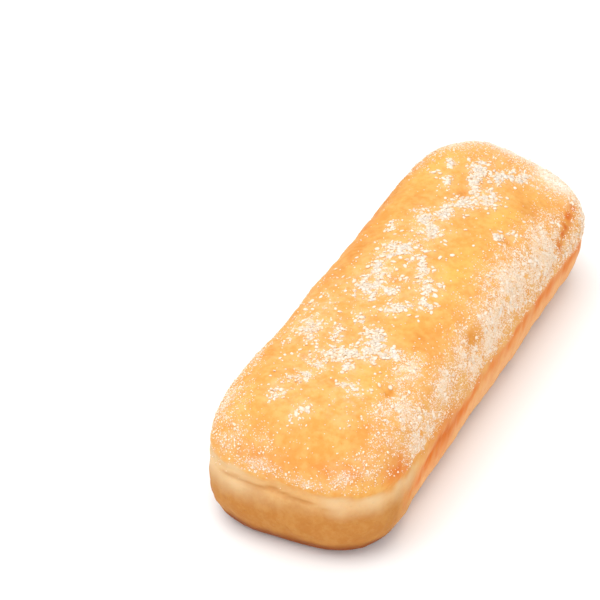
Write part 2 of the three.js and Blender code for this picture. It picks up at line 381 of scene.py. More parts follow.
SCORCHED_AND_SHADED = (
    (59, -21.6, 24.8, 2.6, 1.5, 1.6, 0.9),
    (55.5, -22.4, 24.8, 3, 1.5, 1.6, 1.0),
    (51.5, -23.2, 24.8, 3, 1.5, 1.5, 1.0),
    (47.5, -23.9, 24.4, 3, 1.5, 1.5, 1.0),
    (43.5, -24.5, 23.6, 2.6, 1.4, 1.6, 1.0),
    (-31, -25, 15.0, 8, 6, 2.6, 0.75),
    (-60.5, -24.4, 23.4, 3.6, 3, 2.4, 0.4),
    (44, -25.2, 21, 1.6, 2, 2, 0.5),
    (54, -22.5, 28, 6, 3, 2.6, 0.45),
    # The next three darken the left slope: partly its browner crust, partly painted shade.
    (24, 20.5, 30, 16, 2.2, 3, 0.55),
    (45, 20, 30, 8, 2, 3, 0.3),
    (-4, 20.5, 31, 5, 2, 3, 0.3),
)
PITS = (
    (39.5, 1.8, 35, 1.5, 1.1, 3, 1.0),
    (-46.5, -15.6, 34, 2.0, 1.2, 3, 0.9),
    (-28.5, -14.5, 35, 1.4, 1.4, 3, 0.8),
    (25, -15.8, 33, 2.0, 1.6, 3, 0.9),
    (-44.5, 8, 36, 1.2, 1.0, 3, 0.7),
    (-4.5, 1.7, 36, 2.0, 1.0, 3, 0.7),
    (-22.5, -1, 36, 1.2, 1.0, 3, 0.5),
    (-51, -2.5, 36, 1.3, 1.0, 3, 0.5),
    (-62, 3.5, 35, 1.0, 1.0, 3, 0.5),
)
TOASTED_AND_SHADED = (
    *PITS,
    (-24, -14, 35, 6, 5, 4, 0.5),
    (-12.5, -23, 29.5, 3.6, 2.5, 3, 0.6),
    (-62, -15, 31, 5, 4, 5, 0.4),
    (-68, 2, 29, 3, 8, 5, 0.4),
    (44, -15, 32, 5, 3, 4, 0.5),
    # The next four darken the left slope too: partly its browner crust, partly painted shade.
    (4, 17, 34, 18, 3, 4, 0.6),
    (-25, 21, 31, 12, 2.5, 4, 0.4),
    (38, 20, 31, 16, 3, 4, 0.6),
    (-43, 17, 33, 5, 2, 4, 0.4),
    (30, 12, 35, 5, 2, 4, 0.35),
)
RUDDY = (
    (-60, -24, 23, 4.5, 5, 3.2, 0.9),
    (-34, -25, 15.5, 9, 6, 5.2, 0.9),
    (-71, -11, 27.5, 3, 4, 2, 0.4),
    (-70, -17, 26.5, 3, 3, 2, 0.5),
    (-73, 5, 26, 3, 7, 2.5, 0.25),
)
# The far end's white patches: partly thick powder, partly a painted highlight on that end's rim.
FROST_AND_HIGHLIGHT_PATCHES = (
    (73, 4, 27, 9, 17, 9, 1.4),
    (71, -14, 26, 10, 9, 8, 1.5),
    (66, 17, 29, 9, 7, 7, 1.3),
    (50, -26, 20, 6, 2, 4, 0.4),
)
GOLDEN = (
    (4, -11, 36, 12, 4, 6, 0.9),
    (-20, -10, 36, 7, 4, 6, 0.6),
    (35, -12, 34, 10, 4, 6, 0.9),
    (50, 13, 34, 12, 5, 6, 0.8),
    (55, -13, 31, 6, 5, 6, 0.6),
    (-47, -8, 36, 8, 5, 6, 0.5),
    (-66, -18, 22, 5, 4, 3, 0.6),
)

# The crust's streaks, and how its tone breaks up two layers. Then its dullness, the share of a
# crystal's tint that is its own, and the floor's darker tone.
STREAKS = {"stretch": (1.0, 0.35, 1.0), "scale": 420.0, "ramp": (0.52, 0.72), "share": 0.3}
MOTTLED = {"golden": (-0.6, 0.9), "scorched": (-1.2, 0.7)}
DULLNESS = {"bare": 0.42, "powdered": 0.35, "uneven": 0.1}
TINT_SHARE = 0.7
FLOOR_SHADE = 0.99

# Places of the two colours and the result among a Mix node's sockets.
MIXED_COLOURS = (6, 7)
MIX_RESULT = 2

# The stage, in metres. The lens and the sensor are in mm.
KEY = {"place": (-0.07, 0.22, 0.91), "size": 1.2}
FILL = {"place": (-0.8, -0.5, 0.5), "size": 0.6}
CAMERA = {
    "place": (-0.5519, -0.2364, 0.4620),
    "target": (0.0205, 0.0407, 0.0),
    "lens": 173.5,
    "sensor": 36.0,
    "sees": 20.0,
}


def bell(distance, spread):
    """A bell curve: 1 at distance 0, fallen to about a third at the spread."""
    return np.exp(-((distance / spread) ** 2))


def signed_power(value, power):
    """The power of a value's size, with the value's sign."""
    return np.sign(value) * np.abs(value) ** power


def smooth_step(start, end, value):
    """0 at the start, 1 at the end, and an S-curve between them. The start may be the higher one."""
    share = np.clip((value - start) / (end - start), 0, 1)
    return share * share * (3 - 2 * share)


def ripples(points, wavelength, seed):
    """A rolling random field: sine waves that run in seeded random directions, with lengths near
    the given one and random phases, summed and brought to a spread of about 0.7."""
    rng = np.random.default_rng(seed)
    heading = rng.normal(size=(WAVES, points.shape[-1]))
    heading /= np.linalg.norm(heading, axis=1, keepdims=True)
    lengths = wavelength * rng.uniform(*WAVE_LENGTHS, WAVES)
    phases = rng.uniform(0, 2 * math.pi, WAVES)
    waves = heading * (2 * math.pi / lengths[:, None])
    return np.sin(points @ waves.T + phases).sum(-1) / math.sqrt(WAVES)


def rolling(points, name):
    """One of the named fields: ripples of each of its wavelengths, times their amounts, summed."""
    return sum(amount * ripples(points, length, seed) for length, amount, seed in FIELDS[name])


def patches(points, spots):
    """The strongest of several soft patches at each point. A patch is a bell curve of the distance
    from its middle, with its own reach along each axis."""
    shares = [
        strength * np.exp(-(((points - (x, y, z)) / (along, across, up)) ** 2).sum(-1))
        for x, y, z, along, across, up, strength in spots
    ]
    return np.max(shares, axis=0)


def evenly_spaced(line, count, closed):
    """Points at equal steps along a polyline's own length."""
    points = np.vstack([line, line[:1]]) if closed else line
    reached = np.concatenate([[0], np.cumsum(np.linalg.norm(np.diff(points, axis=0), axis=1))])
    target = reached[-1] * np.arange(count) / (count if closed else count - 1)
    return np.stack([np.interp(target, reached, points[:, axis]) for axis in (0, 1)], 1)


def waist_outline(form):
    """The outline at the waist. Each corner is a quarter of a superellipse, x and y being powers of
    the turn's cosine and sine, moved out to the corner. The far end is then bowed and skewed, and
    bells along the long sides make their swells."""
    steps = CURVE_STEPS * 4
    half_x, half_y = form.length / MM / 2, form.width / MM / 2
    turn = (np.arange(steps) + 0.5) / steps * 2 * math.pi
    cos, sin = np.cos(turn), np.sin(turn)
    radius, squareness = np.empty(steps), np.empty(steps)
    for end, side, corner_radius, corner_squareness in CORNERS:
        here = ((cos >= 0) == (end == "far")) & ((sin >= 0) == (side == "left"))
        radius[here], squareness[here] = corner_radius, corner_squareness
    x = np.sign(cos) * (half_x - radius) + radius * signed_power(cos, 2 / squareness)
    y = np.sign(sin) * (half_y - radius) + radius * signed_power(sin, 2 / squareness)
    x, y = evenly_spaced(np.stack([x, y], 1), form.columns, True).T
    across = y / half_y
    end_share = np.clip((np.abs(x) - (half_x - END_ZONE)) / END_ZONE, 0, 1) ** 2
    bow = np.where(x > 0, FAR_BOW * (1 - across**2), 0)
    skew = np.where(x > 0, FAR_SKEW, NEAR_SKEW) * across
    swell = sum(
        np.where(side * y > 0, side * by * bell(x - at, SWELL_SPREAD), 0) for at, side, by in SWELLS
    )
    outline = np.stack([x + (bow + skew) * end_share, y + swell * across**2], 1)
    return outline * np.array([2 * half_x, 2 * half_y]) / np.ptp(outline, axis=0)


def section(form):
    """The section as shares of the way out to the waist, heights, and which points are in the
    belly. Dome and belly are quarters of superellipses, with points at equal steps along them."""
    half, top = form.width / MM / 2, form.height / MM
    turn = np.linspace(0, math.pi / 2, CURVE_STEPS + 1)
    cos, sin = np.cos(turn), np.sin(turn)
    dome = np.stack([
        half * sin ** (2 / DOME_ACROSS),
        WAIST_HEIGHT + (top - WAIST_HEIGHT) * cos ** (2 / DOME_UPWARD),
    ], 1)
    belly = np.stack([
        half * cos ** (2 / BELLY_ACROSS),
        WAIST_HEIGHT * (1 - sin ** (2 / BELLY_DOWNWARD)),
    ], 1)
    above = evenly_spaced(dome, form.dome_rows, False)
    below = evenly_spaced(belly, form.belly_rows, False)[1:]
    both = np.vstack([above, below])
    in_belly = np.arange(len(both)) >= len(above)
    return both[:, 0] / half, both[:, 1], in_belly


def top_height(x, y, height, top):
    """Heights after the top's own shape: a bell sinks one corner, two products of sines roll it,
    and small bells dimple it, each in proportion to the height above the waist."""
    above = np.maximum(0, height - WAIST_HEIGHT)
    share = above / (top - WAIST_HEIGHT)
    corner = np.hypot(x - SUNKEN["x"], y - SUNKEN["y"])
    sunk = above * SUNKEN["share"] * bell(corner, SUNKEN["spread"])
    quick = np.sin(x / ROLL["wave_x"] + ROLL["shift"]) * np.cos(y / ROLL["wave_y"])
    slow = np.sin(x / ROLL["slow_x"] - y / ROLL["slow_y"])
    dimpled = sum(
        deep * bell(np.hypot(x - at_x, y - at_y), spread) for at_x, at_y, deep, spread in DIMPLES
    )
    return height - sunk + share * (ROLL["height"] * (quick + slow) - dimpled)


def wall_offset(edge, height, half_length):
    """How far the wall stands out: a bell pulls in the crease, and a wider one fills out the lower
    edge of the near end."""
    x, y = edge.T
    near = np.clip((-x - (half_length - END_ZONE)) / END_ZONE, 0, 1)
    wander = CREASE["wander"] * (1 - near) * np.sin(x / CREASE["wave"] + np.sign(y))
    depth = CREASE["side"] + (CREASE["near"] - CREASE["side"]) * near
    crease = depth * bell(height - CREASE["height"] - wander, CREASE["spread"])
    filled = LOWER_SWELL["by"] * near * bell(height - LOWER_SWELL["height"], LOWER_SWELL["spread"])
    return filled - crease


def bun_grid(form):
    """The bun as rows of points. A row joins places the same share of the way from the middle line
    out to the outline, and the rows run over the dome, down the belly, and in under the sole."""
    outline = waist_outline(form)
    top, half_length = form.height / MM, form.length / MM / 2
    spine_half = half_length - form.width / MM / 2
    mirrored = outline[-np.arange(form.columns) % form.columns, 0]
    spine_x = np.clip((outline[:, 0] + mirrored) / 2, -spine_half, spine_half)
    spine = np.stack([spine_x, np.zeros_like(spine_x)], 1)
    out, height, in_belly = (values[:, None] for values in section(form))
    along = outline[:, 0] / half_length
    sole = SOLE_MIDDLE + np.where(along < 0, SOLE_NEAR_GAIN, SOLE_FAR_GAIN) * along**2
    reach = np.where(in_belly, sole + (1 - sole) * out, out + np.zeros_like(sole))
    outward = outline - spine
    heading = outward / np.linalg.norm(outward, axis=1, keepdims=True)
    offset = wall_offset(outline, height, half_length)
    place = spine + outward * reach[..., None] + heading * offset[..., None]
    rise = top_height(place[..., 0], place[..., 1], height + np.zeros_like(sole), top)
    rows = np.concatenate([place, rise[..., None]], -1)
    fold = np.stack([spine_x, np.zeros_like(spine_x), np.zeros_like(spine_x)], 1)
    shares = np.arange(form.sole_rows - 1, -1, -1)[:, None, None] / form.sole_rows
    rows = np.concatenate([rows, fold + (rows[-1] - fold) * shares])
    middle = (rows.max((0, 1)) + rows.min((0, 1))) / 2
    return rows - (middle[0], middle[1], 0)


def grid_normals(rows):
    """Outward normals of a grid of points: the cross product of the steps along a column and along
    a row. The fold along the top points straight up, and the one along the sole straight down."""
    along_row = np.roll(rows, -1, 1) - np.roll(rows, 1, 1)
    down_column = np.gradient(rows, axis=0)
    normals = np.cross(down_column, along_row)
    normals /= np.maximum(np.linalg.norm(normals, axis=-1, keepdims=True), LEAST_LENGTH)
    normals[0], normals[-1] = (0, 0, 1), (0, 0, -1)
    return normals


def crust_grid(form):
    """The bun's grid with its relief: rolling fields move each point along its normal, fading out
    towards the sole, which stays flat. The crease, the line under the rim and the pits are sunk."""
    rows = bun_grid(form)
    relief = rolling(rows, "relief") * smooth_step(*RELIEF_FADE, rows[..., 2])
    relief -= CREASE_LINE["deep"] * crease_line(rows)
    relief -= PIT_DEPTH * (rim_line(rows) + patches(rows, PITS))
    rows = rows + grid_normals(rows) * relief[..., None]
    rows[..., 2] = np.maximum(rows[..., 2], 0)
    return rows, grid_normals(rows)


def line_height(line, x):
    """Height of a line along the straighter long side: straight runs between measured places."""
    places, heights = zip(*line)
    return np.interp(x, places, heights)


def rim_line(points):
    """The darker orange line under the rim of the crust: a bell of the height about it, uneven in
    strength, faint at one place, weaker on the other side and round the far end."""
    x, y, z = np.moveaxis(points, -1, 0)
    line = bell(z - line_height(DARK_LINE, x) + rolling(points, "line height"), LINE["spread"])
    line = line * (1 - LINE["faint"] * bell(x - LINE["faint_x"], LINE["faint_spread"]))
    shown = smooth_step(*LINE["right"], y) * smooth_step(*LINE["before_far_end"], x)
    strength = LINE["hidden"] + (1 - LINE["hidden"]) * shown
    uneven = LINE["even"] + rolling(points, "line strength")
    return line * uneven * strength * smooth_step(*LINE["past_near_end"], x)


def sugar_cover(points, normals):
    """Share of the crust hidden by fine sugar: the sugared patches, broken up by rolling fields,
    with the browned patches, some of them partly painted shade, left bare, only above the rim and only
    where the crust doesn't face down."""
    x, y, z = np.moveaxis(points, -1, 0)
    broken = DUSTING["even"] + rolling(points, "sugar cover")
    bare = 1 - np.minimum(1, DUSTING["bare"] * patches(points, SCORCHED_AND_SHADED + TOASTED_AND_SHADED))
    facing = smooth_step(*DUSTING["facing"], normals[..., 2])
    above_rim = z - line_height(RIM, x) + rolling(points, "sugar edge")
    above_rim = smooth_step(*DUSTING["above_rim"], above_rim)
    kept = np.where(y < 0, above_rim, smooth_step(*DUSTING["hidden_side"], z))
    cover = DUSTING["strength"] * patches(points, SUGARED)
    return np.clip(cover * broken * bare * facing * kept, 0, 1)


def knot_cover(points):
    """How near a point is to a knot of clumped sugar, seen from above: the strongest bell over the
    knots, each turned and with the knot's own length and width. Knots of few clumps are weaker."""
    shares = []
    for x, y, long, wide, turn, clumps in KNOTS:
        cos, sin = math.cos(math.radians(turn)), math.sin(math.radians(turn))
        east, north = points[..., 0] - x, points[..., 1] - y
        along = (east * cos + north * sin) / (long * KNOT["reach"] + KNOT["margin"])
        across = (north * cos - east * sin) / (wide * KNOT["reach"] + KNOT["margin"])
        strength = min(1, KNOT["least"] + KNOT["each"] * clumps)
        shares.append(strength * np.exp(-(along**2 + across**2)))
    return np.max(shares, axis=0)


def veins(points, kind):
    """A network of soft veins: 1 where a rolling field crosses zero, falling off to both sides."""
    return bell(ripples(points, *VEINS[kind]), VEIN_SPREAD)


def veil_cover(points):
    """Share of the crust hidden by half-melted sugar: hazed patches and the surroundings of the
    knots, drawn out into veins of two widths."""
    net = VEIL["wide"] * veins(points, "wide") + VEIL["narrow"] * veins(points, "narrow")
    hazed = patches(points, HAZED) * (VEIL["haze"] + net)
    knotted = knot_cover(points) ** VEIL["knot_power"] * (VEIL["knot"] + VEIL["knot_net"] * net)
    return np.clip(hazed + knotted, 0, 1)


def near_share(points):
    """Share of the near end: 0 on the long sides, 1 on the end's face, with a wavering and, on the
    left side, longer fade between them."""
    x, y = points[..., 0], points[..., 1]
    fades = np.where(y > 0, NEAR_END["left_fades"], NEAR_END["fades"])
    return smooth_step(fades, NEAR_END["full"], rolling(points, "end reach") - x)


def pale_band(points):
    """The pale band where the dough rose last: a belt between two wavering heights round the near
    end, under the crust's rim. It narrows from the left corner to the right one, its strength
    changes in soft steps on the way, and it fades along the long sides."""
    y, z = points[..., 1], points[..., 2]
    rightward = 0.5 - y / BAND["width"]
    waver = rolling(points, "band height")
    top = BAND["top_left"] + (BAND["top_right"] - BAND["top_left"]) * rightward
    top = top + BAND["top_waver"] * waver
    bottom = BAND["bottom"] + BAND["lift"] * smooth_step(*BAND["lifts"], rightward)
    bottom = bottom + BAND["bottom_waver"] * waver
    belt = smooth_step(bottom - BAND["below"], bottom + BAND["above"], z)
    belt = belt * smooth_step(top + BAND["over"], top - BAND["under"], z)
    strength = BAND["strength"] + sum(
        by * smooth_step(start, end, rightward) for start, end, by in BAND_STEPS
    )
    near = near_share(points)
    uneven = 1 + rolling(points, "band strength")
    return belt * (near * strength * uneven + (1 - near) * BAND["side"])


def crease_line(points):
    """The thin crease in the pale band: a narrow bell about a wavering height on the left two
    thirds of the near end."""
    y, z = points[..., 1], points[..., 2]
    height = CREASE_LINE["height"] - CREASE_LINE["drop"] * smooth_step(*CREASE_LINE["drops"], y)
    height = height + rolling(points, "crease height")
    there = smooth_step(*CREASE_LINE["right"], y) * smooth_step(*CREASE_LINE["left"], y)
    return there * near_share(points) * bell(z - height, CREASE_LINE["spread"])


def uneven(share, points, name):
    """A share whose strength varies about an even part by the rolling field of the same name."""
    return share * (EVEN_PART[name] + rolling(points, name))


def crust_layers(points, normals):
    """What the crust's material reads at each point: the walls below a wavering height, the
    coloured patches and lines, some of them partly painted shade, the darker sole, partly painted contact
    shade, and the cover of powder, with a painted highlight on the far end."""
    y, z = points[:, 1], points[:, 2]
    near = near_share(points)
    higher = WALL["near"] * near + WALL["hidden"] * smooth_step(*WALL["across"], y) * (1 - near)
    wall_top = WALL["top"] + higher + rolling(points, "wall height")
    wall = smooth_step(wall_top + WALL["fade"], wall_top - WALL["fade"], z)
    sole_and_shade_top = SOLE_AND_CONTACT_SHADE_EDGE["height"] + SOLE_AND_CONTACT_SHADE_EDGE["near"] * near + rolling(points, "sole height")
    ruddy = np.maximum(patches(points, RUDDY), LINE["colour"] * rim_line(points))
    frost_and_highlight_share = np.minimum(1, patches(points, FROST_AND_HIGHLIGHT_PATCHES))
    dusted = np.maximum(sugar_cover(points, normals), VEIL["strength"] * veil_cover(points))
    return {
        "near_wall": wall * near,
        "long_wall": wall * (1 - near),
        "golden": patches(points, GOLDEN),
        "toasted": uneven(patches(points, TOASTED_AND_SHADED), points, "toasted"),
        "scorched": np.clip(uneven(patches(points, SCORCHED_AND_SHADED), points, "scorched"), 0, 1),
        "ruddy": np.clip(uneven(ruddy, points, "ruddy"), 0, 1),
        "pale": pale_band(points),
        # The crease is painted darker tan: painted shade in the groove.
        "crease": crease_line(points),
        # Darker towards the floor: partly the underside's browner crust, partly painted contact shade,
        # reaching higher at the near end.
        "sole": smooth_step(sole_and_shade_top, sole_and_shade_top - SOLE_AND_CONTACT_SHADE_EDGE["fade"], z),
        # The far end's patches whiten the crust with its pale colour: thick powder there, and a painted
        # highlight.
        "frost_and_highlight_share": frost_and_highlight_share,
        "powder": np.maximum(dusted, frost_and_highlight_share * smooth_step(*FROST["film_facing"], normals[:, 2])),
    }


def knot_density(rows, normals):
    """Where small lumps lie: in the knots, drawn out into veins, thinly in the hazed patches, and
    in the fine sugar, more of them at the near end."""
    upward = smooth_step(*LUMPED["facing"], normals[..., 2])
    net = LUMPED["even"] + veins(rows, "narrow") + LUMPED["wide"] * veins(rows, "wide")
    knotted = (upward * knot_cover(rows) * net) ** LUMPED["power"]
    hazed = LUMPED["hazed"] * upward * patches(rows, HAZED) * net**2
    dusted = LUMPED["dusted"] * sugar_cover(rows, normals) ** 2 * (1 + near_share(rows))
    return knotted + hazed + dusted


def grain_densities(rows, normals):
    """Where coarse and fine grains lie: thinly over the top and its veil, and in the fine sugar and in the
    far end's patches of thick powder and painted highlight, the two kinds in different shares."""
    upward = smooth_step(*GRAINS["facing"], normals[..., 2])
    frost = FROST["grains"] * patches(rows, FROST_AND_HIGHLIGHT_PATCHES) * smooth_step(*FROST["facing"], normals[..., 2])
    cover = sugar_cover(rows, normals) + frost
    strewn = GRAINS["strewn"] * upward * (GRAINS["even"] + veil_cover(rows) ** 2)
    return GRAINS["coarse"] * cover + strewn, cover + strewn


def lay_mesh(name, corners, faces, smooth):
    """A mesh object at the origin from an array of points in mm, an array of faces, every face with
    the same number of corners, and whether each face is smooth."""
    mesh = bpy.data.meshes.new(name)
    mesh.vertices.add(len(corners))
    mesh.vertices.foreach_set("co", (corners * MM).astype(np.float32).ravel())
    sides = faces.shape[1]
    mesh.loops.add(faces.size)
    mesh.loops.foreach_set("vertex_index", faces.astype(np.int32).ravel())
    mesh.polygons.add(len(faces))
    mesh.polygons.foreach_set("loop_start", np.arange(0, faces.size, sides, dtype=np.int32))
    mesh.polygons.foreach_set("use_smooth", smooth)
    mesh.update(calc_edges=True)
    mesh.validate()
    made = bpy.data.objects.new(name, mesh)
    bpy.context.scene.collection.objects.link(made)
    return made


def closed_skin(rows):
    """Triangles over a grid of rows that close on themselves. Points that fall together, at the
    folds and the poles, become one, and triangles that vanish there are dropped. It gives the
    points, the triangles and the grid's place of each point."""
    count, columns = rows.shape[:2]
    here = np.arange(count * columns).reshape(count, columns)
    beside = np.roll(here, -1, 1)
    a, b, c, d = here[:-1], beside[:-1], here[1:], beside[1:]
    triangles = np.concatenate([
        np.stack([a, c, b], -1).reshape(-1, 3),
        np.stack([b, c, d], -1).reshape(-1, 3),
    ])
    flat = rows.reshape(-1, 3)
    _, first, merged = np.unique(np.round(flat, 4), axis=0, return_index=True, return_inverse=True)
    triangles = merged.ravel()[triangles]
    whole = (triangles != np.roll(triangles, 1, 1)).all(1)
    return flat[first], triangles[whole], first


def paint(made, name, values):
    """One number for each point of a mesh, which its material reads by name."""
    layer = made.data.attributes.new(name, "FLOAT", "POINT")
    layer.data.foreach_set("value", values.astype(np.float32).ravel())


def scatter(rows, normals, density, count, rng):
    """Places on a grid's surface. A face is drawn in proportion to its area times the density at
    its middle, and the place inside it is a random blend of its four corners."""
    beside, beside_normals = np.roll(rows, -1, 1), np.roll(normals, -1, 1)
    corners = (rows[:-1], beside[:-1], rows[1:], beside[1:])
    facings = (normals[:-1], beside_normals[:-1], normals[1:], beside_normals[1:])
    area = np.linalg.norm(np.cross(corners[1] - corners[0], corners[2] - corners[0]), axis=-1)
    middle = (density[:-1] + density[1:]) / 2
    reached = np.cumsum((area * middle).ravel())
    face = np.searchsorted(reached, rng.uniform(0, reached[-1], count))
    u, v = rng.uniform(size=(2, count, 1))
    weights = ((1 - u) * (1 - v), u * (1 - v), (1 - u) * v, u * v)
    places = sum(weight * corner.reshape(-1, 3)[face] for weight, corner in zip(weights, corners))
    facing = sum(weight * way.reshape(-1, 3)[face] for weight, way in zip(weights, facings))
    return places, facing / np.linalg.norm(facing, axis=1, keepdims=True)


def clump_places():
    """Places of the clumps seen from above, and their radii: in a knot they lie on a widening
    spiral, each a golden turn on from the last."""
    places = []
    for knot, (x, y, long, wide, turn, clumps) in enumerate(KNOTS):
        step = np.arange(clumps)
        draw = (step * GOLDEN_SHARE + knot * KNOT["step"]) % 1
        reach = np.sqrt((step + 0.5) / clumps) / 2
        angle = step * GOLDEN_TURN + draw
        east, north = long * np.cos(angle) * reach, wide * np.sin(angle) * reach
        cos, sin = math.cos(math.radians(turn)), math.sin(math.radians(turn))
        radius = CLUMP_LEAST + (CLUMP_MOST - CLUMP_LEAST) * draw
        places.append(np.stack([x + east * cos - north * sin, y + east * sin + north * cos, radius], 1))
    return np.vstack(places)


def leaning_axes(facing, lean, rng):
    """Three axes at right angles for each grain: the last is the crust's normal, leaned over at
    random, and the other two are turned at random about it."""
    up = facing + lean * rng.normal(size=facing.shape)
    up /= np.linalg.norm(up, axis=1, keepdims=True)
    aside = np.cross(up, rng.normal(size=facing.shape))
    aside /= np.linalg.norm(aside, axis=1, keepdims=True)
    return np.stack([aside, np.cross(up, aside), up], 1)


def random_sides(sizes, form, rng):
    """Three random sides for each size, between the form's least and most shares of it."""
    return sizes[:, None] * rng.uniform(form["least"], form["most"], (len(sizes), 3))


def blocks(places, facing, sizes, rng):
    """Coarse crystals. Each is a block with its own three sides, its corners moved at random and
    one end tapered."""
    sides = random_sides(sizes, BLOCK, rng) / 2
    shape = BOX_CORNERS * sides[:, None] * rng.uniform(*BLOCK["corners"], (len(places), 8, 3))
    upper = (BOX_CORNERS[:, 2] + 1) / 2
    taper = 1 - BLOCK["taper"] * rng.uniform(size=(len(places), 1)) * upper
    shape[..., :2] *= taper[..., None]
    corners = shape @ leaning_axes(facing, BLOCK["lean"], rng) + places[:, None]
    quads = np.array(BOX_SIDES)
    return corners, np.concatenate([quads[:, (0, 1, 2)], quads[:, (0, 2, 3)]]), False


def flakes(places, facing, sizes, rng):
    """Fine crystals. Each is a flat double pyramid, its six corners moved at random."""
    sides = random_sides(sizes, FLAKE, rng) / 2
    shape = DIAMOND * sides[:, None] * rng.uniform(*FLAKE["corners"], (len(places), 6, 3))
    shape[..., 2] += FLAKE["shift"] * sides[:, 2:] * rng.normal(size=(len(places), 6))
    corners = shape @ leaning_axes(facing, FLAKE["lean"], rng) + places[:, None]
    ring = np.arange(4)
    after = (ring + 1) % 4
    upper = np.stack([ring, after, np.full(4, 4)], 1)
    lower = np.stack([after, ring, np.full(4, 5)], 1)
    return corners, np.concatenate([upper, lower]), False


def lumps(places, facing, radii, rng):
    """Lumps of half-melted sugar. Each is a flattened ball: a point at a turn and a tilt stands off
    the middle by a radius that sine waves of its direction make uneven."""
    rings, turns, waves = LUMP["rings"], LUMP["turns"], LUMP["waves"]
    tilt = np.arange(1, rings)[:, None] / rings * math.pi
    turn = np.arange(turns) / turns * 2 * math.pi
    ball = np.stack([np.sin(tilt) * np.cos(turn), np.sin(tilt) * np.sin(turn), np.cos(tilt) + 0 * turn], -1)
    ball = np.vstack([ball.reshape(-1, 3), (0, 0, 1), (0, 0, -1)])
    heading = LUMP["bumps"] * rng.normal(size=(len(places), waves, 3))
    phase = rng.uniform(0, 2 * math.pi, (len(places), 1, waves))
    radius = 1 + LUMP["uneven"] * np.sin(ball @ heading.transpose(0, 2, 1) + phase).sum(-1)
    shape = ball * radius[..., None] * random_sides(radii, LUMP, rng)[:, None]
    corners = shape @ leaning_axes(facing, LUMP["lean"], rng) + places[:, None]
    here = np.arange(len(ball) - 2).reshape(rings - 1, turns)
    beside = np.roll(here, -1, 1)
    top, bottom = np.full(turns, len(ball) - 2), np.full(turns, len(ball) - 1)
    triangles = np.concatenate([
        np.stack([here[0], beside[0], top], -1),
        np.stack([here[:-1], here[1:], beside[:-1]], -1).reshape(-1, 3),
        np.stack([beside[:-1], here[1:], beside[1:]], -1).reshape(-1, 3),
        np.stack([beside[-1], here[-1], bottom], -1),
    ])
    return corners, triangles, True


def sugar_mesh(name, sets, rng, material):
    """A piece of sugar from sets of like shapes, with a random tint for each shape."""
    corners, triangles, smooth, tints, reached = [], [], [], [], 0
    for shapes, faces, rounded in sets:
        count, each = shapes.shape[:2]
        steps = reached + each * np.arange(count)[:, None, None]
        corners.append(shapes.reshape(-1, 3))
        triangles.append((faces[None] + steps).reshape(-1, 3))
        smooth.append(np.full(count * len(faces), rounded))
        tints.append(np.repeat(rng.uniform(size=count), each))
        reached += count * each
    made = lay_mesh(name, np.vstack(corners), np.vstack(triangles), np.concatenate(smooth))
    paint(made, "tint", np.concatenate(tints))
    made.data.materials.append(material)
    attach(made, "root")


class Tree:
    """Short ways to add and join nodes in one node tree."""

    def __init__(self, tree):
        self.tree = tree

    def add(self, kind, **settings):
        node = self.tree.nodes.new(kind)
        for key, value in settings.items():
            setattr(node, key, value)
        return node

    def join(self, source, target):
        self.tree.links.new(source, target)

    def feed(self, socket, value):
        """Links a socket to a value's node, or sets a plain value on it."""
        if isinstance(value, bpy.types.NodeSocket):
            self.join(value, socket)
        else:
            socket.default_value = value

    def maths(self, operation, *values, clamp=False):
        node = self.add("ShaderNodeMath", operation=operation, use_clamp=clamp)
        for socket, value in zip(node.inputs, values):
            self.feed(socket, value)
        return node.outputs[0]

    def times(self, first, second):
        return self.maths("MULTIPLY", first, second)

    def plus(self, first, second):
        return self.maths("ADD", first, second)

    def minus(self, first, second):
        return self.maths("SUBTRACT", first, second)

    def noise(self, position, scale, detail, roughness=0.5):
        node = self.add("ShaderNodeTexNoise")
        self.join(position, node.inputs["Vector"])
        self.feed(node.inputs["Scale"], scale)
        node.inputs["Detail"].default_value = detail
        node.inputs["Roughness"].default_value = roughness
        return node.outputs["Fac"]

    def ramp(self, value, low, high):
        """0 below low, 1 above high, smooth between."""
        node = self.add("ShaderNodeMapRange", interpolation_type="SMOOTHSTEP")
        self.feed(node.inputs["Value"], value)
        self.feed(node.inputs["From Min"], low)
        self.feed(node.inputs["From Max"], high)
        return node.outputs["Result"]

    def blend(self, share, first, second):
        """A colour between two others, each a socket or a plain red, green and blue."""
        node = self.add("ShaderNodeMix", data_type="RGBA", clamp_factor=True)
        self.feed(node.inputs["Factor"], share)
        for place, colour in zip(MIXED_COLOURS, (first, second)):
            linked = isinstance(colour, bpy.types.NodeSocket)
            self.feed(node.inputs[place], colour if linked else (*colour, 1))
        return node.outputs[MIX_RESULT]

    def layer(self, name):
        """What the mesh's points were painted with."""
        node = self.add("ShaderNodeAttribute", attribute_name=name)
        return node.outputs["Fac"]

    def group(self, maker, **values):
        """The outputs of the node group that a maker function builds. It is built once, named for
        its maker, and placed here with its own values."""
        label = maker.__name__.replace("_", " ").capitalize()
        node = self.add("ShaderNodeGroup", node_tree=bpy.data.node_groups.get(label) or maker(label))
        for name, value in values.items():
            self.feed(node.inputs[name.replace("_", " ")], value)
        return node.outputs


def node_group(label, inputs, outputs):
    """An empty shader node group with named number sockets and Position, a vector: its tree, and
    what it is given and gives back."""
    group = bpy.data.node_groups.new(label, "ShaderNodeTree")
    group.interface.new_socket("Position", in_out="INPUT", socket_type="NodeSocketVector")
    for name, default in inputs.items():
        socket = group.interface.new_socket(name, in_out="INPUT", socket_type="NodeSocketFloat")
        socket.default_value = default
    for name in outputs:
        group.interface.new_socket(name, in_out="OUTPUT", socket_type="NodeSocketFloat")
    tree = Tree(group)
    return tree, tree.add("NodeGroupInput").outputs, tree.add("NodeGroupOutput").inputs


